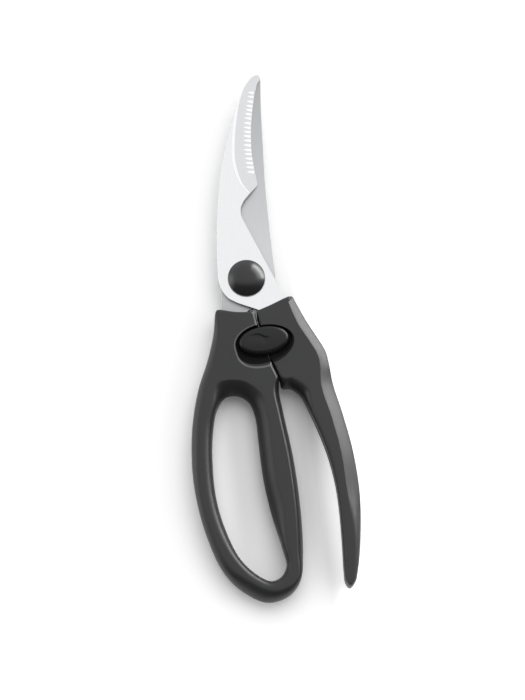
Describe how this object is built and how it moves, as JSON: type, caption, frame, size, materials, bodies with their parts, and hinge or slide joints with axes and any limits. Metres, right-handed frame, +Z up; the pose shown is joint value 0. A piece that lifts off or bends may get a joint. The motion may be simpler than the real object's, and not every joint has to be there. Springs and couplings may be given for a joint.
{
  "type": "game shears",
  "caption": "Spring-opened game shears with a serrated hollow-ground blade, bone notch, capped pivot, swinging thumb lock, a closed finger loop and an open handle.",
  "frame": {"origin": "on the pivot axis, at the table plane that the flat rear cap and both handles rest on", "axes": "+Y along the closed blades to their tips, +Z up through the pivot towards the serrated blade's side, +X towards the open handle"},
  "size_m": [0.077, 0.2501, 0.0172],
  "materials": {
    "bright_steel": "fine ground stainless steel",
    "plain_steel": "satin stainless steel",
    "black_plastic": "fine-grained moulded plastic",
    "gloss_black_plastic": "smooth moulded plastic",
    "zinc_steel": "zinc-plated steel",
    "spring_steel": "drawn spring steel"
  },
  "bodies": {
    "loop_half": {"plain_blade": "plain_steel", "loop_handle": "black_plastic", "front_cap": "gloss_black_plastic", "rear_cap": "gloss_black_plastic", "pivot_bolt": "zinc_steel", "pivot_nut": "zinc_steel", "spring_washer": "spring_steel", "blade_washer": "zinc_steel", "keeper_tab": "zinc_steel", "opening_spring": "spring_steel"},
    "open_half": {"serrated_blade": "bright_steel", "open_handle": "black_plastic"},
    "lock": {"lock_button": "gloss_black_plastic", "lock_plate": "zinc_steel", "lock_screw": "zinc_steel", "lock_washer": "zinc_steel"}
  },
  "joints": [
    {"name": "blade_pivot", "type": "hinge", "parent": "loop_half", "child": "open_half", "pos_m": [0, 0, 0.007], "axis": [0, 0, 1], "range_deg": [0, 34], "deforming": ["opening_spring"]},
    {"name": "lock_pivot", "type": "hinge", "parent": "open_half", "child": "lock", "pos_m": [0.0164, -0.0291, 0.012], "axis": [0, 0, 1], "range_deg": [0, 14]}
  ]
}
